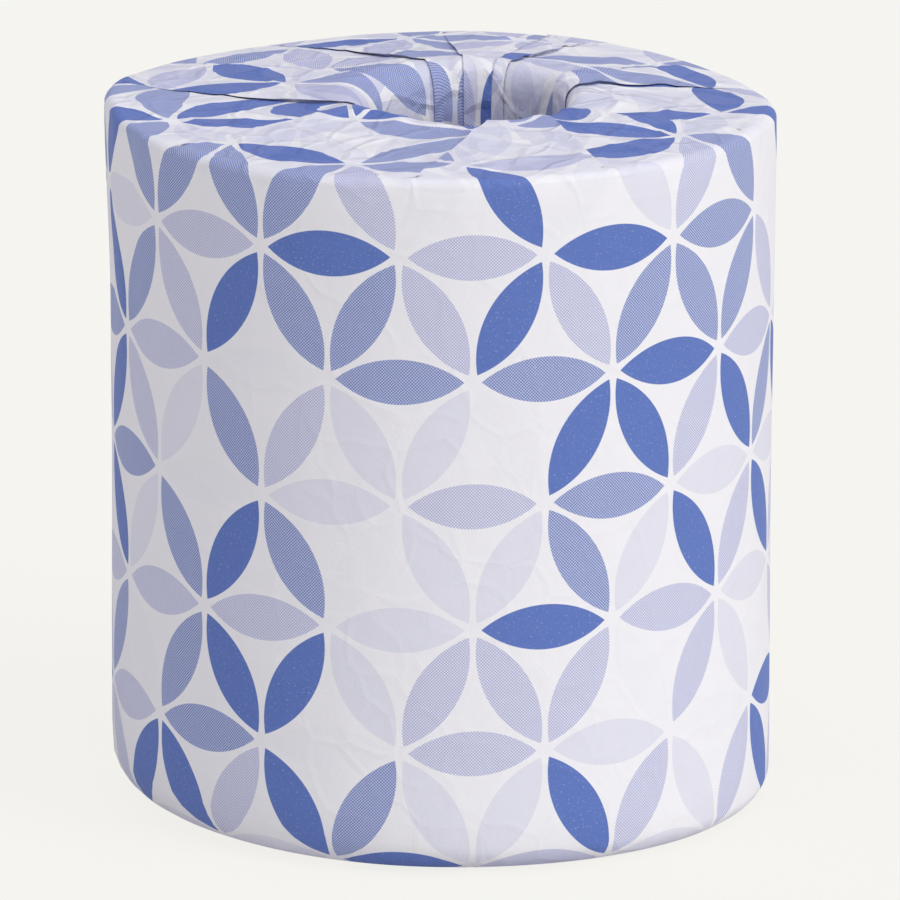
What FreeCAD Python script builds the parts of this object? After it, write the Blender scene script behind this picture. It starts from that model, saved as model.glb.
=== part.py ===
# Paper-wrapped bath tissue roll: a cardboard core tube, the tissue wound on it, and one printed
# paper wrapper that is pleated over both ends and tucked into the open core.
# Millimetres, +Z up, origin at the middle of the face the roll stands on.
import FreeCAD, Part
import Sketcher
import math
import os

from FreeCAD import Vector

OUTPUT_FOLDER = "parts"
doc = FreeCAD.newDocument("wrapped_tissue_roll")

# Driving dimensions
SIZES = [
    ("drum_radius", 53.4, "outside of the wrapped roll"),
    ("drum_height", 114.3, "from the standing face to the top rim"),
    ("top_edge_radius", 3.0, "rounding of the top rim"),
    ("bottom_edge_radius", 7.0, "rounding of the bottom rim"),
    ("paper", 0.3, "wall of the wrapper"),
    ("wrap_gap", 0.2, "gap between the wrapper and the wound tissue"),
    ("pleat_space", 1.2, "room for folded layers at each end of the tissue"),
    ("flat_ring", 5.0, "smooth ring inside each rounded rim, before the pleats begin"),
    ("tube_radius", 20.8, "outside of the cardboard tube"),
    ("tube_wall", 0.6, "wall of the cardboard tube"),
    ("tube_gap", 0.1, "gap between the tube and the tissue wound on it"),
    ("tube_inset", 1.0, "how much deeper the tube ends than the tissue, at each end"),
    ("tube_shift_right", 5.0, "tube axis to the right of the roll's axis"),
    ("tube_shift_back", -1.5, "tube axis behind the roll's axis"),
    ("tuck_gap", 0.25, "gap between the tucked paper and the tube"),
    ("top_tuck", 27.0, "depth of the paper tucked in at the top"),
    ("bottom_tuck", 24.0, "depth of the paper tucked in at the bottom"),
    ("top_mouth", 16.9, "radius of the opening at the top"),
    ("bottom_mouth", 17.6, "radius of the opening at the bottom"),
    ("top_crown", 1.9, "rise of the top from rim to mouth"),
    ("bottom_hollow", 0.3, "hollow of the bottom from rim to mouth"),
    ("top_step", 0.75, "height of a folded edge on the top"),
    ("bottom_step", 0.45, "height of a folded edge on the bottom"),
    ("mouth_roll", 3.0, "width of the rounded lip around each opening"),
    ("lap_width", 20.0, "overlap of the paper's two ends down the side"),
]

# Pleats of each end, counter-clockwise from +X: angle at the rim, angle at the mouth, and which
# layer lies on top, 1 for the one before the fold and -1 for the one after it
TOP_PLEATS = [
    (-144, -154, -1),
    (-95, -81, -1),
    (-60, -46, 1),
    (-21, -28, 1),
    (17, 14, -1),
    (37, 32, 1),
    (61, 69, -1),
    (90, 92, 1),
    (122, 109, 1),
    (146, 146, -1),
    (172, 198, 1),
]
BOTTOM_PLEATS = [
    (-160, -150, 1),
    (-122, -118, 1),
    (-84, -72, 1),
    (-50, -44, -1),
    (-12, -2, 1),
    (26, 34, 1),
    (60, 70, 1),
    (98, 102, -1),
    (134, 146, 1),
    (168, 178, 1),
]
# Bends round a rim of the wrapper, in degrees from level: outside, and inside
OUTER_BENDS = [0, 18, 36, 54, 72, 90]
INNER_BENDS = [0, 45, 90]

FOLD_ANGLE = 1.6
LARGEST_FACET = 18.0
LAP_EDGE_ANGLE = 70.0
FULL_TURN = 360.0

# Halfway in from the rim: how much of the end's rise, and of a folded layer's height, is reached
HALFWAY_RISE = 0.5
HALFWAY_LAYER = 0.8

# The rounded lip, in shares of its width: where it bends, and how far down it bends, turns
# upright and comes to the tube's wall. Folded edges stand out less inside it.
LIP_BEND = 0.33
LIP_BEND_DROP = 0.12
LIP_DROP = 0.6
LIP_FOOT = 1.6
FOLD_SHARE_IN_TUBE = 0.5

sheet = doc.addObject("Spreadsheet::Sheet", "sizes")
for row, (alias, value, meaning) in enumerate(SIZES, start=1):
    sheet.set(f"A{row}", alias)
    sheet.set(f"B{row}", str(value))
    sheet.set(f"C{row}", meaning)
    sheet.setAlias(f"B{row}", alias)
doc.recompute()


def size(alias):
    return float(sheet.get(alias))


def blend(start, end, share):
    return start + (end - start) * share


def around(radius, degrees):
    angle = math.radians(degrees)
    return Vector(radius * math.cos(angle), radius * math.sin(angle), 0)


# Sketch helpers

def in_mm(feature, expression):
    return float(feature.evalExpression(expression))


def sketch_on(body, name, role, height=None):
    sketch = body.newObject("Sketcher::SketchObject", name)
    plane = next(f for f in body.Origin.OriginFeatures if f.Role == role)
    sketch.AttachmentSupport = [(plane, "")]
    sketch.MapMode = "FlatFace"
    if height:
        sketch.setExpression("AttachmentOffset.Base.z", height)
    return sketch


def bind(sketch, name, expression, *constraint):
    index = sketch.addConstraint(Sketcher.Constraint(*constraint))
    sketch.renameConstraint(index, name)
    sketch.setExpression(f"Constraints.{name}", expression)


def add_circle(sketch, name, expression, shifted=False):
    start = 10.0
    circle = sketch.addGeometry(Part.Circle(Vector(0, 0, 0), Vector(0, 0, 1), start), False)
    if shifted:
        bind(sketch, f"{name}_right", "sizes.tube_shift_right", "DistanceX", -1, 1, circle, 3, 1.0)
        bind(sketch, f"{name}_back", "sizes.tube_shift_back", "DistanceY", -1, 1, circle, 3, 1.0)
    else:
        sketch.addConstraint(Sketcher.Constraint("Coincident", circle, 3, -1, 1))
    bind(sketch, name, expression, "Radius", circle, start)


def ring_body(label, outer, inner, base, length, outer_shifted):
    body = doc.addObject("PartDesign::Body", label)
    sketch = sketch_on(body, f"{label}_section", "XY_Plane", base)
    add_circle(sketch, "outer_radius", outer, shifted=outer_shifted)
    add_circle(sketch, "inner_radius", inner, shifted=True)
    pad = body.newObject("PartDesign::Pad", f"{label}_pad")
    pad.Profile = sketch
    pad.setExpression("Length", length)
    doc.recompute()
    return body


# Wound tissue: one solid with the tube's bore through it, and its outer corners pressed in by
# the wrapper

TISSUE_RADIUS = "sizes.drum_radius - sizes.paper - sizes.wrap_gap"
TISSUE_BASE = "sizes.paper + sizes.pleat_space"
TISSUE_LENGTH = "sizes.drum_height - 2 * sizes.paper - 2 * sizes.pleat_space"


def make_tissue_roll():
    body = ring_body(
        "tissue_roll", TISSUE_RADIUS, "sizes.tube_radius + sizes.tube_gap",
        TISSUE_BASE, TISSUE_LENGTH, outer_shifted=False)
    middle = size("drum_height") / 2
    for name, width, above in (("top_corner", "sizes.top_edge_radius", True),
                               ("bottom_corner", "sizes.bottom_edge_radius", False)):
        feature = body.Tip
        widest = max(edge.BoundBox.XLength for edge in feature.Shape.Edges)
        rims = [f"Edge{n}" for n, edge in enumerate(feature.Shape.Edges, start=1)
                if edge.BoundBox.ZLength < 0.01 and edge.BoundBox.XLength > widest - 0.01
                and (edge.BoundBox.ZMin > middle) == above]
        corner = body.newObject("PartDesign::Chamfer", name)
        corner.Base = (feature, rims)
        corner.setExpression("Size", width)
        doc.recompute()
    return body


# Core tube: plain wound cardboard, a little shorter than the tissue

def make_core_tube():
    return ring_body(
        "core_tube", "sizes.tube_radius", "sizes.tube_radius - sizes.tube_wall",
        f"{TISSUE_BASE} + sizes.tube_inset", f"{TISSUE_LENGTH} - 2 * sizes.tube_inset",
        outer_shifted=True)


# Wrapper, wall and rims: one thin turned shell, open at both ends inside the flat rings. Creased
# paper turns each rim in a few flat facets, and in two inside, where nobody sees them.

def rim_corners(rim, depth, bends):
    """Corners round one rim at a depth in the paper, as expressions for how far out and how far up."""
    corners = []
    for bend in bends:
        radius = f"(sizes.{rim}_edge_radius - {depth})"
        out = f"sizes.drum_radius - sizes.{rim}_edge_radius + {radius} * cos({bend} deg)"
        up = f"sizes.{rim}_edge_radius - {radius} * sin({bend} deg)"
        if rim == "top":
            up = f"sizes.drum_height - ({up})"
        corners.append((out, up))
    return corners


def wall_section():
    """All corners of the wall's section in order, as expressions for how far out and how far up."""
    rings = {rim: f"sizes.drum_radius - sizes.{rim}_edge_radius - sizes.flat_ring"
             for rim in ("top", "bottom")}
    return [
        (rings["bottom"], "0"),
        *rim_corners("bottom", "0", OUTER_BENDS[::-1]),
        *rim_corners("top", "0", OUTER_BENDS),
        (rings["top"], "sizes.drum_height"),
        (rings["top"], "sizes.drum_height - sizes.paper"),
        *rim_corners("top", "sizes.paper", INNER_BENDS[::-1]),
        *rim_corners("bottom", "sizes.paper", INNER_BENDS),
        (rings["bottom"], "sizes.paper"),
    ]


def make_wrapper_wall():
    body = doc.addObject("PartDesign::Body", "wrapper_wall")
    sketch = sketch_on(body, "wrapper_section", "XZ_Plane")
    section = wall_section()
    corners = [Vector(in_mm(sketch, out), in_mm(sketch, up), 0) for out, up in section]
    following = corners[1:] + corners[:1]
    sketch.addGeometry([Part.LineSegment(*ends) for ends in zip(corners, following)], False)
    for edge, (out, up) in enumerate(section):
        previous = (edge - 1) % len(section)
        sketch.addConstraint(Sketcher.Constraint("Coincident", previous, 2, edge, 1))
        bind(sketch, f"out_{edge}", out, "DistanceX", -1, 1, edge, 1, corners[edge].x)
        bind(sketch, f"up_{edge}", up, "DistanceY", -1, 1, edge, 1, corners[edge].y)
    turned = body.newObject("PartDesign::Revolution", "wrapper_turned")
    turned.Profile = sketch
    turned.ReferenceAxis = (sketch, ["V_Axis"])
    turned.Angle = FULL_TURN
    doc.recompute()
    return body


# Wrapper, side lap: the outer end of the sheet lies over the inner one and ends in a low step

def make_wrapper_lap():
    radius, wall = size("drum_radius"), size("paper")
    bottom, top = size("bottom_edge_radius"), size("drum_height") - size("top_edge_radius")
    last = LAP_EDGE_ANGLE
    first = last - math.degrees(size("lap_width") / radius)
    middle = (first + last) / 2
    sunk = radius - wall / 2
    base = Vector(0, 0, bottom)
    corners = [around(sunk, first) + base, around(sunk, last) + base,
               around(radius + wall, last) + base]
    inner = Part.Arc(corners[0], around(sunk, middle) + base, corners[1]).toShape()
    outer = Part.Arc(corners[2], around(radius + wall / 4, middle) + base, corners[0]).toShape()
    step = Part.makeLine(corners[1], corners[2])
    lap = doc.addObject("Part::Feature", "wrapper_lap")
    lap.Shape = Part.Face(Part.Wire([inner, step, outer])).extrude(Vector(0, 0, top - bottom))
    return lap


# Wrapper, pleated ends: flat facets between sections all the way round, each section running from
# the flat ring over the pleats and the rounded lip down into the tube, and back on the hidden side

class End:
    def __init__(self, side, rim_height, edge_radius, tuck, mouth, rise, step, lowest_layer):
        self.side = side
        self.rim_height = rim_height
        self.ring_end = size("drum_radius") - edge_radius - size("flat_ring")
        self.tuck = tuck
        self.mouth = mouth
        self.rise = rise
        self.step = step
        self.lowest_layer = lowest_layer

    def place(self, flat, height):
        return Vector(flat.x, flat.y, self.rim_height + self.side * height)

    def section(self, rim_angle, mouth_angle, raised):
        wall = size("paper")
        lip = size("mouth_roll")
        tube_axis = Vector(size("tube_shift_right"), size("tube_shift_back"), 0)
        tube_inside = size("tube_radius") - size("tube_wall")
        tucked = tube_inside - size("tuck_gap") - wall
        fold_depth = FOLD_SHARE_IN_TUBE * self.step * raised
        layer = self.step * (raised - self.lowest_layer)
        crest = self.rise + layer
        halfway_height = HALFWAY_RISE * self.rise + HALFWAY_LAYER * layer
        root = around(self.ring_end + size("flat_ring") / 2, rim_angle)
        ring_end = around(self.ring_end - wall, rim_angle)
        shoulder = tube_axis + around(self.mouth + lip, mouth_angle)
        halfway = (ring_end + shoulder) * 0.5

        def inside(radius):
            return tube_axis + around(radius - fold_depth, mouth_angle)

        seen = [
            self.place(root, 0),
            self.place(ring_end, 0),
            self.place(halfway, halfway_height),
            self.place(shoulder, crest),
            self.place(inside(self.mouth + LIP_BEND * lip), crest - LIP_BEND_DROP * lip),
            self.place(inside(self.mouth), crest - LIP_DROP * lip),
            self.place(inside(self.mouth + wall), -LIP_FOOT * lip),
            self.place(inside(tucked), -self.tuck),
        ]
        hidden = [
            self.place(inside(tucked + wall), -self.tuck),
            self.place(inside(self.mouth + 2 * wall), -LIP_FOOT * lip),
            self.place(inside(self.mouth + wall), crest - LIP_DROP * lip - wall / 2),
            self.place(shoulder, crest - wall),
            self.place(ring_end, -wall),
            self.place(root, -wall),
        ]
        return seen + hidden


def pleated_end(name, end, pleats):
    sections = []
    following = pleats[1:] + [(pleats[0][0] + FULL_TURN, pleats[0][1] + FULL_TURN, pleats[0][2])]
    for (rim, mouth, order), (next_rim, next_mouth, next_order) in zip(pleats, following):
        half = FOLD_ANGLE / 2
        before, after = (1, 0) if order > 0 else (0, 1)
        next_before = 1 if next_order > 0 else 0
        sections.append(end.section(rim - half, mouth - half, before))
        rim_span = next_rim - rim - FOLD_ANGLE
        mouth_span = next_mouth - mouth - FOLD_ANGLE
        panels = math.ceil(max(rim_span, mouth_span) / LARGEST_FACET)
        for step in range(panels):
            share = step / panels
            raised = blend(after, next_before, share)
            sections.append(end.section(
                rim + half + rim_span * share, mouth + half + mouth_span * share, raised))
    facets = []
    for section, neighbour in zip(sections, sections[1:] + sections[:1]):
        count = len(section)
        for first in range(count):
            second = (first + 1) % count
            for corners in ((section[first], section[second], neighbour[second]),
                            (section[first], neighbour[second], neighbour[first])):
                facets.append(Part.Face(Part.makePolygon([*corners, corners[0]])))
    shell = Part.Shell(facets)
    shell.sewShape()
    solid = Part.Solid(shell)
    if solid.Volume < 0:
        solid.reverse()
    pleated = doc.addObject("Part::Feature", name)
    pleated.Shape = solid
    return pleated


def make_wrapper():
    top_end = End(1, size("drum_height"), size("top_edge_radius"), size("top_tuck"),
                  size("top_mouth"), size("top_crown"), size("top_step"), lowest_layer=0)
    bottom_end = End(-1, 0, size("bottom_edge_radius"), size("bottom_tuck"),
                     size("bottom_mouth"), -size("bottom_hollow"), size("bottom_step"),
                     lowest_layer=1)
    wall = make_wrapper_wall()
    joined = [
        make_wrapper_lap(),
        pleated_end("top_pleats", top_end, TOP_PLEATS),
        pleated_end("bottom_pleats", bottom_end, BOTTOM_PLEATS),
    ]
    wrapper = doc.addObject("Part::Feature", "wrapper")
    wrapper.Shape = wall.Shape.multiFuse([part.Shape for part in joined]).removeSplitter()
    return wrapper


pieces = [make_tissue_roll(), make_core_tube(), make_wrapper()]
doc.recompute()

for item in doc.Objects:
    if "Invalid" in item.State or "Error" in item.State:
        raise RuntimeError(f"{item.Label} failed: {item.State}")

for piece in pieces:
    shape = piece.Shape
    if shape.isNull() or not shape.isValid() or len(shape.Solids) != 1:
        raise RuntimeError(f"{piece.Label} is not one valid solid")

os.makedirs(OUTPUT_FOLDER, exist_ok=True)
for piece in pieces:
    piece.Shape.exportStep(os.path.join(OUTPUT_FOLDER, f"{piece.Label}.step"))
    box = piece.Shape.BoundBox
    print(f"{piece.Label}: {piece.Shape.Volume:.0f} mm3, {box.XLength:.2f} x {box.YLength:.2f}"
          f" x {box.ZLength:.2f} mm, z {box.ZMin:.2f} to {box.ZMax:.2f}, {len(piece.Shape.Faces)} faces")
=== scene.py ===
# Wrapped toilet paper roll: one printed paper sheet folded round a tissue roll on its core tube.
import math

import bmesh
import bpy
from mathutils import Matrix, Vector, noise


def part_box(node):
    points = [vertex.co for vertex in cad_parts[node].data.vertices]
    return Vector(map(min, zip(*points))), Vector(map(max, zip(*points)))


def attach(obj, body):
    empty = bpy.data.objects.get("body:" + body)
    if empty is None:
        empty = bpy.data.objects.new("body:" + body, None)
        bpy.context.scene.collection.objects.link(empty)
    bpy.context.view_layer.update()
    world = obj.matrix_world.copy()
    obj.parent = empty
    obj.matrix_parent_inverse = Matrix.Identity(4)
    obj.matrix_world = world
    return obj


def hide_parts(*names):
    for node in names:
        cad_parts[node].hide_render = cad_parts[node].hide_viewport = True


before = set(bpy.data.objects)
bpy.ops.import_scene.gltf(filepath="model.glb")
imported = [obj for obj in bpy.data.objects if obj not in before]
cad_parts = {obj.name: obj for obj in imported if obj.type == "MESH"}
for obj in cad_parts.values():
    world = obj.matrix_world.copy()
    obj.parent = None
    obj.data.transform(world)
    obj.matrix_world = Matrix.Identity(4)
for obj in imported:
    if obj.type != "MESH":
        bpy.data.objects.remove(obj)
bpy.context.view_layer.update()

# Lengths below are millimetres until a mesh is finished
MM = 0.001

# Sizes taken from the frame. The tube's wall and how far the folds stand above the top rim are the
# model's own values.
wrapper_low, wrapper_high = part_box("wrapper")
tube_low, tube_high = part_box("core_tube")
DRUM_RADIUS = wrapper_high.x / MM
TUBE_AXIS = (tube_low + tube_high).to_2d() / 2 / MM
TUBE_WALL = 0.6
TUBE_INSIDE = (tube_high.x - tube_low.x) / 2 / MM - TUBE_WALL
HIGHEST_FOLD = 2.65
TISSUE_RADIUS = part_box("tissue_roll")[1].x / MM
RIM_HEIGHT = wrapper_high.z / MM - HIGHEST_FOLD

# The sheet: where its inner end starts round the roll, and how far its outer end laps over
SHEET_START = 48.5
LAP_ANGLE = 21.5
SHEET_END = SHEET_START + 360 + LAP_ANGLE
PAPER = 0.09
SHEET_COLUMNS = 345

# The flat sheet lies in a square UV map of this span, raised by this much so that nothing is below 0
SHEET_SPAN = 400.0
SHEET_SHIFT = 70.0

# The lap: how far the outer end stands out and over which angle it rises, how far the inner end lies
# in and between which angles past its edge it comes out again, and the share of that on the underside
OUTER_LAP, OUTER_LAP_RISE = 0.16, 8
INNER_LAP, INNER_LAP_RISE = 0.14, (14, 36)
UNDERSIDE_LAP = 1.6

# Pleats, counter-clockwise from +X: angle at the rim, angle at the mouth, which layer is on top
# (1 the one before the fold, -1 the one after it), lift of its edge, and how far in it lifts most
# and over what width, as shares of the way from rim to mouth. Angles are in degrees throughout.
TOP_PLEATS = [
    (-144, -154, -1, 0.45, 0.88, 0.16),
    (-95, -81, -1, 0.7, 0.92, 0.24),
    (-60, -46, 1, 0.2, 0.5, 0.3),
    (-21, -28, 1, 0.3, 0.28, 0.10),
    (17, 14, -1, 0.3, 0.9, 0.12),
    (37, 32, 1, 0.8, 0.84, 0.16),
    (61, 69, -1, 0.4, 0.6, 0.2),
    (90, 92, 1, 0.2, 0.6, 0.2),
    (122, 109, 1, 0.3, 0.72, 0.16),
    (146, 146, -1, 0.3, 0.35, 0.15),
    (172, 198, 1, 0.35, 0.82, 0.14),
]
BOTTOM_PLEATS = [
    (-160, -150, 1, 0, 0.5, 0.2),
    (-122, -118, 1, 0, 0.5, 0.2),
    (-84, -72, 1, 0, 0.5, 0.2),
    (-50, -44, -1, 0, 0.5, 0.2),
    (-12, -2, 1, 0, 0.5, 0.2),
    (26, 34, 1, 0, 0.5, 0.2),
    (60, 70, 1, 0, 0.5, 0.2),
    (98, 102, -1, 0, 0.5, 0.2),
    (134, 146, 1, 0, 0.5, 0.2),
    (168, 178, 1, 0, 0.5, 0.2),
]

# The paper that a pleat hides: the angle that it takes up on each side at the rim, its distance below
# the layer on top, how far in it turns back, and the most of a panel's width that it may use. Last,
# how far from its edge a pleat's lift still shows.
FOLD_SPREAD = 0.9
LAYER_GAP = 0.24
DEEPEST_TURN = 1.2
WIDEST_TURN = 0.42
LIFT_REACH = 4.0

# Where the wall stands out from a cylinder: how far, angle, width, and the share of the height where
# it starts. The last three are soft upright folds under the top rim.
WALL_BULGES = [(0.9, 190, 28, 0.7), (0.6, -5, 45, 0.3),
               (-0.40, 203, 2.0, 0.55), (0.30, 196.5, 2.6, 0.60), (-0.35, 189, 2.2, 0.50)]
WALL_WAIST = 0.15
LEAST_WRAP_GAP = 0.25

# Uneven rims and mouth, as swells: how much, angle, width
TOP_RIM_RADIUS, TOP_RIM_SWELLS = 2.2, [(-0.8, 195, 35), (-0.5, 300, 40)]
BOTTOM_RIM_RADIUS, BOTTOM_RIM_SWELLS = 6.0, [(4.0, 212, 45), (-1.8, 330, 40)]
RIM_LIFTS = [(2.0, 182, 24), (-0.7, 42, 28), (-1.0, 20, 20), (-0.7, 120, 25)]
MOUTH_RADIUS, MOUTH_SWELLS = 16.4, [(0.5, 180, 40), (0.6, -100, 30)]
LIP_WIDTH, LIP_SWELLS = 2.6, [(3.0, 150, 75)]
LIP_DROP, DROP_SWELLS = 2.2, [(4.2, 120, 80)]
MOUTH_STRAIGHTNESS = 0.35

# Crumples of the ends: height, level in the noise, size. Creases of the top: height, sharpness, level,
# size.
CRUMPLES = [(0.22, 7, 11), (0.12, 31, 4.5)]
CREASES = [(0.3, 7, 50, 15), (0.22, 6, 90, 8)]

# The underside is pressed flat by the roll's weight: the share of its relief that is left, and how
# far it lies above the floor
UNDERSIDE_RELIEF = 0.7
UNDERSIDE_HOLLOW = 0.3

# Tucked paper: how far each hidden layer, and each layer down, lies out, and how ragged its edge is
HIDDEN_PUSH = 0.3
LAYER_PUSH = 0.5
RAGGED_EDGE = 2.5


def blend(a, b, share):
    return a + (b - a) * share


def soft_step(low, high, value):
    share = min(max((value - low) / (high - low), 0.0), 1.0)
    return share * share * (3 - 2 * share)


def bump(value, centre, width):
    return math.exp(-((value - centre) / width) ** 2)


def angle_bump(degrees, centre, width):
    away = (degrees - centre + 180) % 360 - 180
    return math.exp(-(away / width) ** 2)


def swelled(base, swells, degrees):
    """The base value with swells added round the roll."""
    return base + sum(amount * angle_bump(degrees, place, width) for amount, place, width in swells)


def around(radius, degrees):
    angle = math.radians(degrees)
    return Vector((radius * math.cos(angle), radius * math.sin(angle)))


def waver(x, y, z, size):
    return noise.noise(Vector((x, y, z)) / size)


# Form of the roll: its rims and its wall

def top_rim_radius(degrees):
    flat = around(3.0, degrees)
    return swelled(TOP_RIM_RADIUS, TOP_RIM_SWELLS, degrees) + 0.5 * waver(flat.x, flat.y, 3, 0.5)


def bottom_rim_radius(degrees):
    return swelled(BOTTOM_RIM_RADIUS, BOTTOM_RIM_SWELLS, degrees)


def rim_lift(degrees):
    """The top rim stands up a little on the left and sinks at the back."""
    return swelled(0.0, RIM_LIFTS, degrees)


def wall_radius(degrees, height):
    flat = around(DRUM_RADIUS, degrees)
    share = height / RIM_HEIGHT
    radius = DRUM_RADIUS + 0.1
    radius += 0.20 * waver(flat.x, flat.y, height * 0.5, 34)
    radius += 0.10 * waver(flat.x + 40, flat.y, height * 0.35, 11)
    radius -= WALL_WAIST * bump(share, 0.55, 0.3)
    for amount, place, width, start in WALL_BULGES:
        radius += amount * angle_bump(degrees, place, width) * soft_step(start, 1.0, share)
    return max(radius, TISSUE_RADIUS + LEAST_WRAP_GAP)


class End:
    """One pleated end of the wrapper, from its rim over the cap and the lip into the tube.

    Heights count outwards from the rim: up on the top, where side is 1, and down on the bottom, where
    side is -1. A point of a panel is given by its share of the way across, from one pleat to the
    next, and inward, its share of the way from the rim to the mouth.

    mouth, lip, crown and drop depend on the angle: the mouth's radius, the lip's width, how far the
    end rises towards the mouth, and how far the lip falls. step is the height of a layer, and
    lowest_layer says how many layers below the rim's level the lowest one lies. tuck is the depth of
    the tucked paper and tucked its radius.
    """

    def __init__(self, side, rim_height, rim_radius, pleats, mouth_axis, mouth, lip, crown,
                 step, lowest_layer, drop, tuck, tucked):
        self.side = side
        self.rim_height = rim_height
        self.rim_radius = rim_radius
        self.pleats = pleats
        self.mouth_axis = mouth_axis
        self.mouth = mouth
        self.lip = lip
        self.crown = crown
        self.step = step
        self.lowest_layer = lowest_layer
        self.drop = drop
        self.tuck = tuck
        self.tucked = tucked
        self.columns = self.lay_out_columns()

    def pleat(self, index):
        """A pleat's row, with its angles counted on past 360 degrees."""
        turns, place = divmod(index, len(self.pleats))
        rim, mouth, *fold = self.pleats[place]
        return rim + 360 * turns, mouth + 360 * turns, *fold

    def lay_out_columns(self):
        """A list of (panel, share) for columns on a panel and (pleat, None) for a pleat's hidden turn."""
        first = next(i for i in range(99) if self.pleat(i)[0] > SHEET_START)
        last = next(i for i in range(99) if self.pleat(i)[0] > SHEET_END)
        stops = [SHEET_START, *(self.pleat(i)[0] for i in range(first, last)), SHEET_END]
        spare = SHEET_COLUMNS - 3 * (last - first) - 2
        spans = [b - a for a, b in zip(stops, stops[1:])]
        counts = [int(spare * span / sum(spans)) for span in spans]
        counts[counts.index(max(counts))] += spare - sum(counts)
        columns = []
        for place, (low, high, count) in enumerate(zip(stops, stops[1:], counts)):
            panel = first - 1 + place
            start, end = self.pleat(panel)[0], self.pleat(panel + 1)[0]
            for n in range(count + 2):
                degrees = blend(low, high, n / (count + 1))
                columns.append((panel, (degrees - start) / (end - start)))
            if place < len(counts) - 1:
                columns.append((panel + 1, None))
        return columns

    def lap_height(self, degrees):
        """The lap's height over this end. Nothing stands out over the end that the roll stands on."""
        lift = lap_lift(degrees)
        return lift if self.side > 0 else UNDERSIDE_LAP * min(lift, 0)

    def angles(self, panel, share, spread):
        """The angles at the rim and at the mouth of a line across a panel."""
        rim, mouth = self.pleat(panel)[:2]
        next_rim, next_mouth = self.pleat(panel + 1)[:2]
        low = rim + spread
        high = next_rim - spread
        return blend(low, high, share), blend(mouth, next_mouth, share)

    def rim_angle(self, column):
        panel, share = column
        if share is None:
            return self.pleat(panel)[0]
        return self.angles(panel, share, FOLD_SPREAD)[0]

    def mouth_point(self, panel, share, radius_added):
        mouths = self.pleat(panel)[1], self.pleat(panel + 1)[1]
        ends = [around(self.mouth(a) + radius_added(a), a) for a in mouths]
        angle = blend(*mouths, share)
        chord = blend(*ends, share)
        arc = around(self.mouth(angle) + radius_added(angle), angle)
        return self.mouth_axis + blend(arc, chord, MOUTH_STRAIGHTNESS)

    def panel_flat(self, panel, share, inward):
        """The places, seen from above, of a panel's point and of the rim's point in line with it."""
        spread = FOLD_SPREAD * (1 - soft_step(0.0, 0.04, inward))
        rim = self.angles(panel, share, spread)[0]
        start = around(wall_radius(rim, self.rim_height) - self.rim_radius(rim), rim)
        return start, blend(start, self.mouth_point(panel, share, self.lip), inward)

    def raised(self, panel, share):
        """How much of a layer a point of a panel lies above the lowest layer, from 0 to 1."""
        left = 0 if self.pleat(panel)[2] > 0 else 1
        right = 1 if self.pleat(panel + 1)[2] > 0 else 0
        return blend(left, right, share)

    def panel_width(self, panel, inward):
        return (self.panel_flat(panel, 1, inward)[1] - self.panel_flat(panel, 0, inward)[1]).length

    def lifted(self, panel, share, inward):
        """How far the paper gapes where a fold's edge lies on top."""
        width = self.panel_width(panel, inward)
        total = 0.0
        for pleat, away, on_top in ((panel, share, -1), (panel + 1, 1 - share, 1)):
            order, lift, lift_at, lift_width = self.pleat(pleat)[2:]
            if order == on_top:
                total += lift * bump(inward, lift_at, lift_width) * bump(away * width, 0, LIFT_REACH)
        return total

    def panel_height(self, panel, share, inward, creased=True):
        start, flat = self.panel_flat(panel, share, inward)
        mouth_angle = self.angles(panel, share, 0)[1]
        layer = self.step * (self.raised(panel, share) - self.lowest_layer)
        height = self.crown(mouth_angle) * inward ** 1.4 + layer * soft_step(0.0, 0.6, inward)
        height += self.lifted(panel, share, inward)
        crumple = soft_step(0.0, 0.15, inward)
        for deep, level, size in CRUMPLES:
            height += crumple * deep * waver(flat.x, flat.y, level * self.side, size)
        if self.side < 0:
            return min(UNDERSIDE_RELIEF * height - UNDERSIDE_HOLLOW * crumple, 0)
        if creased:
            for high, sharp, level, size in CREASES:
                height += crumple * high * max(0.0, 1 - sharp * abs(waver(flat.x, flat.y, level, size)))
        return height + rim_lift(self.angles(panel, share, 0)[0]) * (1 - inward) ** 2

    def panel_point(self, panel, share, inward):
        """(flat place, height, u, v) of a point of a pleated panel."""
        start, flat = self.panel_flat(panel, share, inward)
        low = self.panel_flat(panel, 0, 0)[0]
        high = self.panel_flat(panel, 1, 0)[0]
        across = (high - low).normalized()
        inwards = Vector((-across.y, across.x))
        rim = self.angles(panel, share, FOLD_SPREAD)[0]
        moved = flat - start
        u = DRUM_RADIUS * math.radians(rim - SHEET_START) + moved.dot(across)
        v = moved.dot(inwards)
        return flat, self.panel_height(panel, share, inward), u, v

    def turn_share(self, pleat, inward):
        """The panel that hides a pleat's turn, and how far across it the turn lies."""
        order = self.pleat(pleat)[2]
        rim_width = [DRUM_RADIUS * math.radians(self.pleat(p + 1)[0] - self.pleat(p)[0])
                     for p in (pleat - 1, pleat)]
        widths = [self.panel_width(p, inward) for p in (pleat - 1, pleat)]
        hidden = (sum(rim_width) - sum(widths)) / 4
        panel, width = (pleat - 1, widths[0]) if order > 0 else (pleat, widths[1])
        reach = min(max(hidden, 0.02), WIDEST_TURN * width, DEEPEST_TURN) / width
        return panel, (1 - reach if order > 0 else reach)

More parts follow.
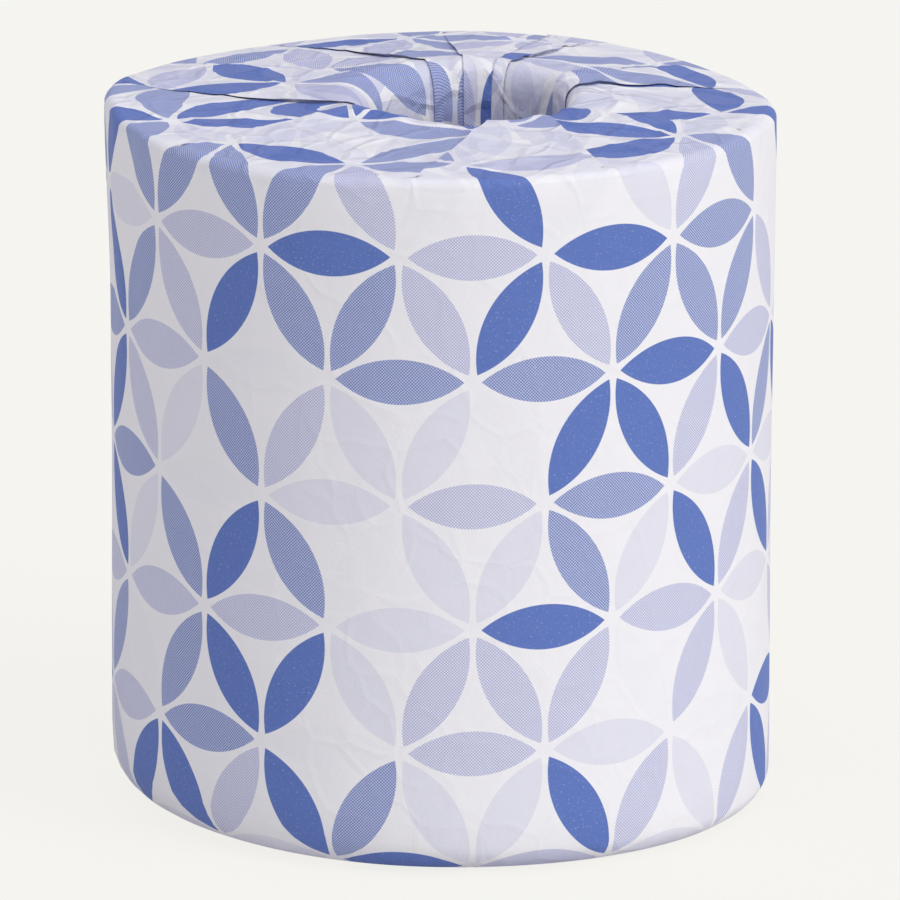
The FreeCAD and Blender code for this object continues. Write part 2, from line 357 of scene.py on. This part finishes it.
    def cap_point(self, column, inward):
        """(flat place, height, u, v) of a column's point on the flat end."""
        panel, share = column
        if share is not None:
            return self.panel_point(panel, share, inward)
        over, across = self.turn_share(panel, inward)
        flat = self.panel_point(over, across, inward)[0]
        cover = self.panel_height(over, across, inward, creased=False)
        before = self.panel_point(panel - 1, 1, inward)
        after = self.panel_point(panel, 0, inward)
        hidden = min(cover - LAYER_GAP * soft_step(0, 0.25, inward), before[1], after[1])
        return flat, hidden, (before[2] + after[2]) / 2, (before[3] + after[3]) / 2

    def mouth_column(self, column):
        """(panel, share, push) where a column passes over the lip, pushed out under the layers on top."""
        panel, share = column
        own_push = 0.0
        if share is None:
            panel, share = self.turn_share(panel, 1)
            own_push = HIDDEN_PUSH
        return panel, share, own_push - LAYER_PUSH * self.step * self.raised(panel, share)

    def lip_point(self, column, round_share):
        """A column's point on the rounded lip, from 0 on the flat end to 1 where the paper hangs."""
        flat, height, u, v = self.cap_point(column, 1)
        panel, share, push = self.mouth_column(column)
        turn = round_share * math.pi / 2
        across = 1 - math.sin(turn)
        angle = self.angles(panel, share, 0)[1]
        flat = self.mouth_point(panel, share, lambda a: self.lip(a) * across)
        flat += around(push * math.sin(turn), angle)
        drop = self.drop(angle)
        height -= drop * (1 - math.cos(turn))
        v += turn * (self.lip(angle) + drop) / 2
        return flat, height, u, v

    def sleeve_point(self, column, down):
        """A column's point on the tucked paper, from 0 at the lip to 1 at its ragged edge."""
        flat, height, u, v = self.lip_point(column, 1)
        panel, share, push = self.mouth_column(column)
        angle = self.angles(panel, share, 0)[1]
        ring = around(1.0, angle)
        end = -self.tuck - RAGGED_EDGE * waver(ring.x, ring.y, 5, 0.6)
        on_tube = Vector(TUBE_AXIS) + around(self.tucked + push * 0.6, angle)
        flat = blend(flat, on_tube, soft_step(0.3, 1.0, down))
        crease = 0.35 * waver(angle * 0.35, down * 3, 9, 3.0) * bump(down, 0.4, 0.35)
        flat -= around(abs(crease), angle)
        return flat, blend(height, end, down), u, v + down * (height - end)


top_end = End(
    side=1, rim_height=RIM_HEIGHT, rim_radius=top_rim_radius, pleats=TOP_PLEATS,
    mouth_axis=Vector((4.2, -2.6)),
    mouth=lambda a: swelled(MOUTH_RADIUS, MOUTH_SWELLS, a),
    lip=lambda a: swelled(LIP_WIDTH, LIP_SWELLS, a),
    crown=lambda a: 2.0 + 0.8 * math.sin(math.radians(a)),
    step=0.3, lowest_layer=0, drop=lambda a: swelled(LIP_DROP, DROP_SWELLS, a),
    tuck=27.0, tucked=TUBE_INSIDE - 0.6)
bottom_end = End(
    side=-1, rim_height=0.0, rim_radius=bottom_rim_radius, pleats=BOTTOM_PLEATS,
    mouth_axis=Vector(TUBE_AXIS), mouth=lambda a: 17.5, lip=lambda a: 2.6,
    crown=lambda a: -0.25, step=0.4, lowest_layer=1, drop=lambda a: 2.6,
    tuck=24.0, tucked=TUBE_INSIDE - 0.6)


# Folding the flat sheet: each row of the grid belongs to one zone, from the paper tucked in at the
# bottom, out and up the wall, to the paper tucked in at the top. A zone has a name, its end and a
# number of rows.

ZONES = [("sleeve", bottom_end, 9), ("lip", bottom_end, 5), ("cap", bottom_end, 13),
         ("rim", bottom_end, 7), ("wall", None, 33), ("rim", top_end, 6),
         ("cap", top_end, 30), ("lip", top_end, 7), ("sleeve", top_end, 14)]


def sheet_rows():
    """(zone, end, share) of each row of the grid, with the share counted from the wall inwards."""
    rows = []
    for zone, end, count in ZONES:
        shares = [n / count for n in range(1, count + 1)]
        if end is bottom_end:
            shares = [1 - n / count for n in range(count)]
        if zone == "wall":
            shares = [n / (count + 1) for n in range(1, count + 1)]
        rows += [(zone, end, share) for share in shares]
    return rows


def rim_point(end, degrees, share):
    """The rounded corner, share 0 on the wall and 1 on the flat end."""
    radius = end.rim_radius(degrees)
    turn = share * math.pi / 2
    out = wall_radius(degrees, end.rim_height) - radius * (1 - math.cos(turn))
    height = end.rim_height + end.side * radius * (math.sin(turn) - 1)
    if end.side > 0:
        height += rim_lift(degrees)
    return around(out, degrees), height, height_along(end, radius, turn)


def height_along(end, radius, turn):
    """v on the flat sheet after part of a rim's turn."""
    return end.rim_height - end.side * radius + end.side * radius * turn


def lap_lift(degrees):
    """How far the sheet's outer end stands out over its inner end, which lies a little deeper."""
    outer = OUTER_LAP * soft_step(SHEET_END - LAP_ANGLE - OUTER_LAP_RISE, SHEET_END, degrees)
    low, high = (SHEET_START + rise for rise in INNER_LAP_RISE)
    inner = INNER_LAP * (1 - soft_step(low, high, degrees))
    return outer - inner


def fold(column, row):
    """The folded place of one grid point, in millimetres, and its place on the flat sheet."""
    zone, end, share = row
    top, bottom = top_end.columns[column], bottom_end.columns[column]
    if zone in ("cap", "lip", "sleeve"):
        own = end.columns[column]
        point = {"cap": end.cap_point, "lip": end.lip_point, "sleeve": end.sleeve_point}[zone]
        flat, height, u, v = point(own, share)
        degrees = end.rim_angle(own)
        radius = end.rim_radius(degrees)
        height += end.lap_height(degrees)
        place = Vector((flat.x, flat.y, end.rim_height + end.side * height))
        return place, u, height_along(end, radius, math.pi / 2) + end.side * v
    if zone == "rim":
        degrees = end.rim_angle(end.columns[column])
        flat, height, v = rim_point(end, degrees, share)
        flat += around(lap_lift(degrees), degrees)
        height += end.side * end.lap_height(degrees) * share
    else:
        mix = soft_step(0.05, 0.95, share)
        degrees = blend(bottom_end.rim_angle(bottom), top_end.rim_angle(top), mix)
        low = bottom_rim_radius(degrees)
        high = RIM_HEIGHT - top_rim_radius(degrees)
        v = blend(low, high, share)
        height = v + rim_lift(degrees) * soft_step(0.6, 1.0, share)
        flat = around(wall_radius(degrees, height) + lap_lift(degrees), degrees)
    u = DRUM_RADIUS * math.radians(degrees - SHEET_START)
    return Vector((flat.x, flat.y, height)), u, v


def link_mesh(bm, name):
    mesh = bpy.data.meshes.new(name)
    bm.to_mesh(mesh)
    bm.free()
    piece = bpy.data.objects.new(name, mesh)
    bpy.context.scene.collection.objects.link(piece)
    return piece


def make_wrapper():
    """A flat grid moved to its folded place, with its place on the flat sheet kept as a UV map."""
    rows = sheet_rows()
    bm = bmesh.new()
    bmesh.ops.create_grid(bm, x_segments=SHEET_COLUMNS - 1, y_segments=len(rows) - 1, size=0.5)
    sheet_uv = bm.loops.layers.uv.new("sheet")
    places = {}
    for vert in bm.verts:
        column = round((vert.co.x + 0.5) * (SHEET_COLUMNS - 1))
        row = round((vert.co.y + 0.5) * (len(rows) - 1))
        place, u, v = fold(column, rows[row])
        places[vert] = (column, row, u, v)
        vert.co = place * MM
    pleated = {index for index, row in enumerate(rows) if row[0] in ("cap", "lip", "sleeve")}
    for face in bm.faces:
        face.smooth = True
        for loop in face.loops:
            u, v = places[loop.vert][2:]
            loop[sheet_uv].uv = (u / SHEET_SPAN, (v + SHEET_SHIFT) / SHEET_SPAN)
    turns = {end.side: {n for n, column in enumerate(end.columns) if column[1] is None}
             for end in (top_end, bottom_end)}
    for edge in bm.edges:
        (column, row), (other, other_row) = (places[v][:2] for v in edge.verts)
        if column == other and row in pleated and other_row in pleated:
            near = turns[rows[row][1].side]
            edge.smooth = not {column - 1, column, column + 1} & near
    wrapper = link_mesh(bm, "printed_wrapper")
    thickness = wrapper.modifiers.new("paper", "SOLIDIFY")
    thickness.thickness = PAPER * MM
    thickness.offset = -1
    thickness.use_even_offset = False
    thickness.material_offset = 1
    thickness.material_offset_rim = 1
    return wrapper


# Materials

class Tree:
    """A node tree and short calls for adding nodes to it."""

    def __init__(self, tree):
        self.tree = tree

    def add(self, kind, inputs=(), **settings):
        node = self.tree.nodes.new("ShaderNode" + kind)
        for name, value in settings.items():
            setattr(node, name, value)
        for name, value in dict(inputs).items():
            self.feed(node.inputs[name], value)
        return node

    def feed(self, socket, value):
        """Link a socket to another one, or set its value."""
        if isinstance(value, bpy.types.NodeSocket):
            self.tree.links.new(value, socket)
        elif value is not None:
            socket.default_value = value

    def math(self, operation, *values, clamp=False):
        node = self.add("Math", operation=operation, use_clamp=clamp)
        for socket, value in zip(node.inputs, values):
            self.feed(socket, value)
        return node.outputs[0]

    def mix(self, factor, first, second, blend_type="MIX"):
        """A mix of two colours."""
        node = self.add("Mix", data_type="RGBA", blend_type=blend_type)
        values = {"Factor_Float": factor, "A_Color": first, "B_Color": second}
        for socket in node.inputs:
            self.feed(socket, values.get(socket.identifier))
        return next(s for s in node.outputs if s.identifier == "Result_Color")

    def mix_shaders(self, factor, first, second):
        node = self.add("MixShader", {"Fac": factor})
        self.feed(node.inputs[1], first)
        self.feed(node.inputs[2], second)
        return node.outputs[0]

    def ramp(self, value, stops, interpolation="LINEAR"):
        node = self.add("ValToRGB", {"Fac": value})
        node.color_ramp.interpolation = interpolation
        elements = node.color_ramp.elements
        while len(elements) < len(stops):
            elements.new(0.5)
        for element, (position, colour) in zip(elements, stops):
            element.position = position
            element.color = colour
        return node.outputs["Color"]

    def group(self, group, inputs):
        node = self.tree.nodes.new("ShaderNodeGroup")
        node.node_tree = group
        for name, value in inputs.items():
            self.feed(node.inputs[name], value)
        return node


def new_group(name, inputs, outputs):
    """A node group, its tree, the sockets that it is given and the sockets that it fills."""
    group = bpy.data.node_groups.new(name, "ShaderNodeTree")
    for socket, kind in inputs:
        group.interface.new_socket(socket, in_out="INPUT", socket_type="NodeSocket" + kind)
    for socket, kind in outputs:
        group.interface.new_socket(socket, in_out="OUTPUT", socket_type="NodeSocket" + kind)
    tree = Tree(group)
    start = group.nodes.new("NodeGroupInput")
    end = group.nodes.new("NodeGroupOutput")
    return group, tree, start.outputs, end.inputs


def shade(red, green, blue):
    """A display colour of 0 to 255 as the linear colour that a shader takes."""
    linear = [(c / 255 / 12.92 if c <= 10 else ((c / 255 + 0.055) / 1.055) ** 2.4)
              for c in (red, green, blue)]
    return (*linear, 1.0)


def grey(value):
    return (value, value, value, 1.0)


# Petal print: compass-drawn petals along the edges of a triangular lattice, so that six of them make a
# rosette at every crossing. Lengths are on the flat sheet. The last three are the sharpness of a
# petal's edge, what keeps the picks of petals that lie another way apart, and the pitch of the dots.

LATTICE = 23.5
PETAL_LENGTH = 20.8
PETAL_WIDTH = 7.4
ROW_GAP = LATTICE * math.sqrt(0.75)
PETAL_ARC = (PETAL_LENGTH ** 2 + PETAL_WIDTH ** 2) / (4 * PETAL_WIDTH)
PETAL_EDGE = 12.0
SEED_STEP = 3.7
DOT_PITCH = 0.36


def make_petal_rows():
    """All petals that lie one way: how deep inside a petal a point is, and a number for each petal."""
    group, tree, given, result = new_group(
        "petal_rows", [("Position", "Vector"), ("Turn", "Float"), ("Seed", "Float")],
        [("Depth", "Float"), ("Pick", "Float")])
    calc = tree.math
    parts = tree.add("SeparateXYZ", {"Vector": given["Position"]}).outputs
    cosine = calc("COSINE", given["Turn"])
    sine = calc("SINE", given["Turn"])
    along = calc("ADD", calc("MULTIPLY", parts["X"], cosine), calc("MULTIPLY", parts["Y"], sine))
    across = calc("SUBTRACT", calc("MULTIPLY", parts["Y"], cosine), calc("MULTIPLY", parts["X"], sine))
    row = calc("ROUND", calc("DIVIDE", across, ROW_GAP))
    off_row = calc("ABSOLUTE", calc("SUBTRACT", across, calc("MULTIPLY", row, ROW_GAP)))
    odd = calc("FLOORED_MODULO", row, 2.0)
    shifted = calc("SUBTRACT", calc("DIVIDE", along, LATTICE), calc("MULTIPLY", odd, 0.5))
    place = calc("FLOOR", shifted)
    off_middle = calc("MULTIPLY", calc("SUBTRACT", calc("SUBTRACT", shifted, place), 0.5), LATTICE)
    to_centre = calc("ADD", off_row, PETAL_ARC - PETAL_WIDTH / 2)
    reach = calc("SQRT", calc("ADD", calc("MULTIPLY", off_middle, off_middle),
                                     calc("MULTIPLY", to_centre, to_centre)))
    tree.feed(result["Depth"], calc("SUBTRACT", PETAL_ARC, reach))
    spot = tree.add("CombineXYZ", {"X": row, "Y": place, "Z": given["Seed"]}).outputs[0]
    tree.feed(result["Pick"], tree.add("TexWhiteNoise", {"Vector": spot}).outputs["Value"])
    return group


def make_petal_field(petal_rows):
    """The whole print: a mask of the petals, and each petal's own number."""
    group, tree, given, result = new_group(
        "petal_field", [("Position", "Vector")], [("Petal", "Float"), ("Pick", "Float")])
    mask, pick = None, None
    for number, degrees in enumerate((0, 60, 120)):
        rows = tree.group(petal_rows, {
            "Position": given["Position"], "Turn": math.radians(degrees), "Seed": number * SEED_STEP})
        inside = tree.math("MULTIPLY_ADD", rows.outputs["Depth"], PETAL_EDGE, 0.5, clamp=True)
        own = tree.math("MULTIPLY", rows.outputs["Pick"], tree.math("GREATER_THAN", inside, 0.0))
        mask = inside if mask is None else tree.math("MAXIMUM", mask, inside)
        pick = own if pick is None else tree.math("MAXIMUM", pick, own)
    tree.feed(result["Petal"], mask)
    tree.feed(result["Pick"], pick)
    return group


def make_halftone():
    """Round printed dots on a slanting grid, which cover the given share of the paper."""
    group, tree, given, result = new_group(
        "halftone", [("Position", "Vector"), ("Pitch", "Float"), ("Cover", "Float")],
        [("Ink", "Float")])
    turned = tree.add("VectorRotate", {"Vector": given["Position"], "Angle": math.radians(45)},
                      rotation_type="Z_AXIS").outputs[0]
    parts = tree.add("SeparateXYZ", {"Vector": turned}).outputs
    waves = []
    for axis in ("X", "Y"):
        phase = tree.math("DIVIDE", parts[axis], given["Pitch"])
        waves.append(tree.math("COSINE", tree.math("MULTIPLY", phase, math.tau)))
    level = tree.math("MULTIPLY_ADD", tree.math("ADD", *waves), 0.25, 0.5)
    ink = tree.math("ADD", level, tree.math("SUBTRACT", given["Cover"], 0.5), clamp=True)
    tree.feed(result["Ink"], ink)
    return group


def make_paper_surface():
    """Height of thin paper: fine fibres, and faint creases where the given strength is high."""
    group, tree, given, result = new_group(
        "paper_surface", [("Position", "Vector"), ("Creases", "Float")],
        [("Height", "Float"), ("Tone", "Float")])
    fibre = tree.add("TexNoise", {"Vector": given["Position"], "Scale": 1.6, "Detail": 6.0,
                                  "Roughness": 0.65}).outputs["Fac"]
    warped = tree.add("TexNoise", {"Vector": given["Position"], "Scale": 0.05, "Detail": 2.0})
    bent = tree.add("VectorMath", operation="MULTIPLY_ADD")
    tree.feed(bent.inputs[0], warped.outputs["Color"])
    tree.feed(bent.inputs[1], (14.0, 14.0, 14.0))
    tree.feed(bent.inputs[2], given["Position"])
    cells = tree.add("TexVoronoi", {"Vector": bent.outputs[0], "Scale": 0.11},
                     feature="DISTANCE_TO_EDGE").outputs["Distance"]
    crease = tree.math("SUBTRACT", 1.0, tree.math("MULTIPLY", cells, 9.0, clamp=True))
    small = tree.add("TexNoise", {"Vector": given["Position"], "Scale": 0.22, "Detail": 3.0}).outputs["Fac"]
    folds = tree.math("MULTIPLY", tree.math("MULTIPLY_ADD", crease, 0.5, small), given["Creases"])
    tree.feed(result["Height"], tree.math("MULTIPLY_ADD", fibre, 0.10, folds))
    tree.feed(result["Tone"], small)
    return group


petal_rows = make_petal_rows()
petal_field = make_petal_field(petal_rows)
halftone = make_halftone()
paper_surface = make_paper_surface()

PAPER_WHITE = shade(244, 244, 246)
DEEP_BLUE = shade(94, 121, 192)
VIOLET_BLUE = shade(152, 158, 212)
FAINT_BLUE = shade(229, 230, 240)

# The print's tints: the share of the petals where each starts, its ink, and how much of the paper its
# dots cover. Over 1 is solid, and 0 leaves the petal out.
TINTS = [(0.0, DEEP_BLUE, 1.5), (0.20, DEEP_BLUE, 0.74), (0.44, VIOLET_BLUE, 0.50),
         (0.66, FAINT_BLUE, 1.5), (0.90, FAINT_BLUE, 0.0)]

# Flecks where the ink didn't take: noise level where they start, their sharpness and their strength
FLECK_LEVEL, FLECK_EDGE, FLECK_STRENGTH = 0.60, 6.0, 0.35


def new_material(name, roughness, specular):
    material = bpy.data.materials.new(name)
    material.use_nodes = True
    material.node_tree.nodes.clear()
    tree = Tree(material.node_tree)
    shader = tree.add("BsdfPrincipled")
    shader.inputs["Roughness"].default_value = roughness
    shader.inputs["Specular IOR Level"].default_value = specular
    tree.add("OutputMaterial", {"Surface": shader.outputs[0]})
    return material, tree, shader


def sheet_position(tree):
    """The place on the flat sheet in millimetres, with v 0 at the standing face."""
    uv = tree.add("UVMap", uv_map="sheet").outputs[0]
    return tree.add("Mapping", {"Vector": uv, "Location": (0.0, -SHEET_SHIFT, 0.0),
                                "Scale": (SHEET_SPAN,) * 3}).outputs[0]


def past_rim(tree, position, distance, fade):
    """0 up to this distance past either rim along the sheet, then rising to 1 over the fade."""
    v = tree.add("SeparateXYZ", {"Vector": position}).outputs["Y"]
    from_middle = tree.math("ABSOLUTE", tree.math("SUBTRACT", v, RIM_HEIGHT / 2))
    past = tree.math("SUBTRACT", from_middle, RIM_HEIGHT / 2 + distance)
    return tree.math("DIVIDE", past, fade, clamp=True)


def petal_colours(tree, position):
    """Printed paper: the tints of ink, two of them in dots, on white."""
    field = tree.group(petal_field, {"Position": position}).outputs
    pick = field["Pick"]
    ink = tree.ramp(pick, [(start, colour) for start, colour, _ in TINTS], "CONSTANT")
    cover = tree.ramp(pick, [(start, grey(share)) for start, _, share in TINTS], "CONSTANT")
    dots = tree.group(halftone, {"Position": position, "Pitch": DOT_PITCH, "Cover": cover}).outputs["Ink"]
    specks = tree.add("TexNoise", {"Vector": position, "Scale": 2.4, "Detail": 2.0,
                                   "Roughness": 0.7}).outputs["Fac"]
    bare = tree.math("MULTIPLY", tree.math("SUBTRACT", specks, FLECK_LEVEL), FLECK_EDGE, clamp=True)
    amount = tree.math("MULTIPLY", tree.math("MULTIPLY", field["Petal"], dots),
                       tree.math("SUBTRACT", 1.0, tree.math("MULTIPLY", bare, FLECK_STRENGTH)))
    return tree.mix(amount, PAPER_WHITE, ink)


def make_printed_paper():
    """The sheet's outside, with the layers beneath showing through faintly on the ends."""
    material, tree, shader = new_material("printed_paper", 0.55, 0.35)
    position = sheet_position(tree)
    ends = past_rim(tree, position, -4.0, 8.0)
    tucked = past_rim(tree, position, 31.0, 8.0)
    printed = petal_colours(tree, position)
    moved = tree.add("Mapping", {"Vector": position, "Location": (9.0, 4.0, 0.0),
                                 "Rotation": (0.0, 0.0, 0.5)}).outputs[0]
    beneath = tree.group(petal_field, {"Position": moved}).outputs
    layers = tree.math("MULTIPLY_ADD", tucked, 0.20, 0.15)
    ghost = tree.math("MULTIPLY", tree.math("MULTIPLY", beneath["Petal"], ends), layers)
    shown = tree.mix(ghost, printed, VIOLET_BLUE)
    creases = tree.math("MULTIPLY_ADD", ends, 0.8, 0.25)
    surface = tree.group(paper_surface, {"Position": position, "Creases": creases}).outputs
    tone = tree.math("MULTIPLY_ADD", surface["Tone"], 0.05, 0.955)
    toned = tree.mix(1.0, shown, tone, blend_type="MULTIPLY")
    tree.feed(shader.inputs["Base Color"], toned)
    relief = tree.add("Bump", {"Height": surface["Height"], "Strength": 0.6, "Distance": 0.0008})
    tree.feed(shader.inputs["Normal"], relief.outputs[0])
    return material


def make_paper_back():
    """The sheet's inside, with the print showing through faintly."""
    material, tree, shader = new_material("paper_back", 0.6, 0.3)
    position = sheet_position(tree)
    printed = petal_colours(tree, position)
    seen = tree.mix(0.16, PAPER_WHITE, printed)
    surface = tree.group(paper_surface, {"Position": position, "Creases": 0.6}).outputs
    tree.feed(shader.inputs["Base Color"], seen)
    relief = tree.add("Bump", {"Height": surface["Height"], "Strength": 0.35, "Distance": 0.0004})
    tree.feed(shader.inputs["Normal"], relief.outputs[0])
    return material


def object_position(tree, shift=(0, 0, 0)):
    """Object coordinates in millimetres, counted from the given place."""
    place = tree.add("TexCoord").outputs["Object"]
    return tree.add("Mapping", {"Vector": place, "Location": tuple(-s for s in shift),
                                "Scale": (1 / MM,) * 3}).outputs[0]


# How far the board's joint rises in one turn of its spiral, and the distance from turn to turn of tissue
BOARD_RISE = 62.0
TISSUE_TURN = 0.35


def make_cardboard():
    """Spirally wound board: a slanting butt joint, fibres, and a darker flecked tone."""
    material, tree, shader = new_material("core_board", 0.85, 0.2)
    position = object_position(tree, (TUBE_AXIS.x, TUBE_AXIS.y, 0))
    parts = tree.add("SeparateXYZ", {"Vector": position}).outputs
    turn = tree.math("DIVIDE", tree.math("ARCTAN2", parts["Y"], parts["X"]), math.tau)
    rise = tree.math("FRACT", tree.math("MULTIPLY_ADD", parts["Z"], 1 / BOARD_RISE, turn))
    from_joint = tree.math("ABSOLUTE", tree.math("SUBTRACT", rise, 0.5))
    joint = tree.math("SUBTRACT", 1.0, tree.math("MULTIPLY", from_joint, 90.0, clamp=True))
    fibre = tree.add("TexNoise", {"Vector": position, "Scale": 0.9, "Detail": 6.0,
                                  "Roughness": 0.7}).outputs["Fac"]
    board = tree.ramp(fibre, [(0.3, shade(150, 128, 104)), (0.7, shade(186, 165, 139))])
    colour = tree.mix(tree.math("MULTIPLY", joint, 0.6), board, shade(92, 74, 58))
    tree.feed(shader.inputs["Base Color"], colour)
    height = tree.math("SUBTRACT", fibre, joint)
    relief = tree.add("Bump", {"Height": height, "Strength": 0.5, "Distance": 0.0003})
    tree.feed(shader.inputs["Normal"], relief.outputs[0])
    return material


def make_tissue():
    """Soft tissue: the turns show as fine rings on the ends, with a small embossed quilting."""
    material, tree, shader = new_material("bath_tissue", 0.95, 0.1)
    position = object_position(tree)
    parts = tree.add("SeparateXYZ", {"Vector": position}).outputs
    radius = tree.math("SQRT", tree.math("ADD", tree.math("MULTIPLY", parts["X"], parts["X"]),
                                         tree.math("MULTIPLY", parts["Y"], parts["Y"])))
    turns = tree.math("SINE", tree.math("MULTIPLY", radius, math.tau / TISSUE_TURN))
    dots = tree.add("TexVoronoi", {"Vector": position, "Scale": 0.35}).outputs["Distance"]
    fluff = tree.add("TexNoise", {"Vector": position, "Scale": 1.2, "Detail": 5.0}).outputs["Fac"]
    colour = tree.ramp(fluff, [(0.3, shade(232, 230, 226)), (0.7, shade(246, 245, 242))])
    tree.feed(shader.inputs["Base Color"], colour)
    height = tree.math("MULTIPLY_ADD", turns, 0.2, tree.math("ADD", dots, fluff))
    relief = tree.add("Bump", {"Height": height, "Strength": 0.5, "Distance": 0.0004})
    tree.feed(shader.inputs["Normal"], relief.outputs[0])
    return material


def dress(piece, *materials):
    piece.data.materials.clear()
    for material in materials:
        piece.data.materials.append(material)


# Pieces

wrapper = make_wrapper()
dress(wrapper, make_printed_paper(), make_paper_back())
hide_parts("wrapper")
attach(wrapper, "root")
dress(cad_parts["core_tube"], make_cardboard())
dress(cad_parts["tissue_roll"], make_tissue())


# Floor, light and camera

BACKGROUND = shade(245, 244, 239)
FLOOR_LIT = shade(232, 231, 226)

# The floor in metres, how bright its plain colour is and how much of that the camera sees, and how
# near soft light comes before the floor is clear to it
FLOOR_HALF = 8.0
PLAIN_STRENGTH = 1.035
PLAIN_SHARE = 0.87
CLEAR_REACH = 0.004

SKY, SKY_STRENGTH = (0.965, 0.93, 1.0, 1.0), 0.51


def make_floor():
    """A plain floor: the camera sees mostly its own colour, so that the backdrop has no edge.

    From below it is clear, and so it is to soft light that has come only a little way, which lets the
    underside be seen.
    """
    bm = bmesh.new()
    bmesh.ops.create_grid(bm, x_segments=1, y_segments=1, size=FLOOR_HALF)
    floor = link_mesh(bm, "floor")
    material = bpy.data.materials.new("pale_floor")
    material.use_nodes = True
    material.node_tree.nodes.clear()
    tree = Tree(material.node_tree)
    lit = tree.add("BsdfDiffuse", {"Color": FLOOR_LIT}).outputs[0]
    plain = tree.add("Emission", {"Color": BACKGROUND, "Strength": PLAIN_STRENGTH}).outputs[0]
    path = tree.add("LightPath").outputs
    seen = tree.math("MULTIPLY", path["Is Camera Ray"], PLAIN_SHARE)
    above = tree.mix_shaders(seen, lit, plain)
    clear = tree.add("BsdfTransparent").outputs[0]
    short = tree.math("LESS_THAN", path["Ray Length"], CLEAR_REACH)
    close = tree.math("MULTIPLY", path["Is Diffuse Ray"], short)
    from_below = tree.add("NewGeometry").outputs["Backfacing"]
    see_through = tree.math("MAXIMUM", close, from_below)
    tree.add("OutputMaterial", {"Surface": tree.mix_shaders(see_through, above, clear)})
    dress(floor, material)


def make_light():
    """Soft studio light: a sky all round, a broad window at the right and a skylight."""
    scene = bpy.context.scene
    world = bpy.data.worlds.new("studio")
    scene.world = world
    world.use_nodes = True
    world.node_tree.nodes.clear()
    tree = Tree(world.node_tree)
    soft = tree.add("Background", {"Color": SKY, "Strength": SKY_STRENGTH}).outputs[0]
    plain = tree.add("Background", {"Color": BACKGROUND, "Strength": 1.0}).outputs[0]
    seen = tree.add("LightPath").outputs["Is Camera Ray"]
    tree.add("OutputWorld", {"Surface": tree.mix_shaders(seen, soft, plain)})
    add_sun("window", strength=1.34, softness=35, colour=(1.0, 0.99, 0.965), right=55, high=28)
    add_sun("skylight", strength=0.80, softness=60, colour=(0.84, 0.89, 1.0), right=-30, high=80)


def add_sun(name, strength, softness, colour, right, high):
    """A sun seen from the object at this angle to the right of the camera and this angle up."""
    sun = bpy.data.lights.new(name, "SUN")
    sun.energy = strength
    sun.angle = math.radians(softness)
    sun.color = colour
    lamp = bpy.data.objects.new(name, sun)
    bpy.context.scene.collection.objects.link(lamp)
    side, rise = math.radians(right), math.radians(high)
    towards = Vector((math.sin(side) * math.cos(rise), -math.cos(side) * math.cos(rise), math.sin(rise)))
    lamp.rotation_mode = "QUATERNION"
    lamp.rotation_quaternion = towards.to_track_quat("Z", "Y")


# The camera, in metres and degrees, with its lens in millimetres
CAMERA_DISTANCE = 2.366
CAMERA_HEIGHT_ANGLE = 14.76
CAMERA_TARGET = Vector((0.0014, 0.0, 0.0564))
CAMERA_LENS = 583.8


def make_camera():
    data = bpy.data.cameras.new("camera")
    data.lens = CAMERA_LENS
    data.sensor_width = 36
    data.clip_start = 0.1
    data.clip_end = 30
    camera = bpy.data.objects.new("camera", data)
    bpy.context.scene.collection.objects.link(camera)
    rise = math.radians(CAMERA_HEIGHT_ANGLE)
    back = Vector((0, -math.cos(rise), math.sin(rise)))
    camera.location = CAMERA_TARGET + back * CAMERA_DISTANCE
    camera.rotation_mode = "QUATERNION"
    camera.rotation_quaternion = back.to_track_quat("Z", "Y")
    bpy.context.scene.camera = camera


make_floor()
make_light()
make_camera()
bpy.context.scene.view_settings.view_transform = "Standard"
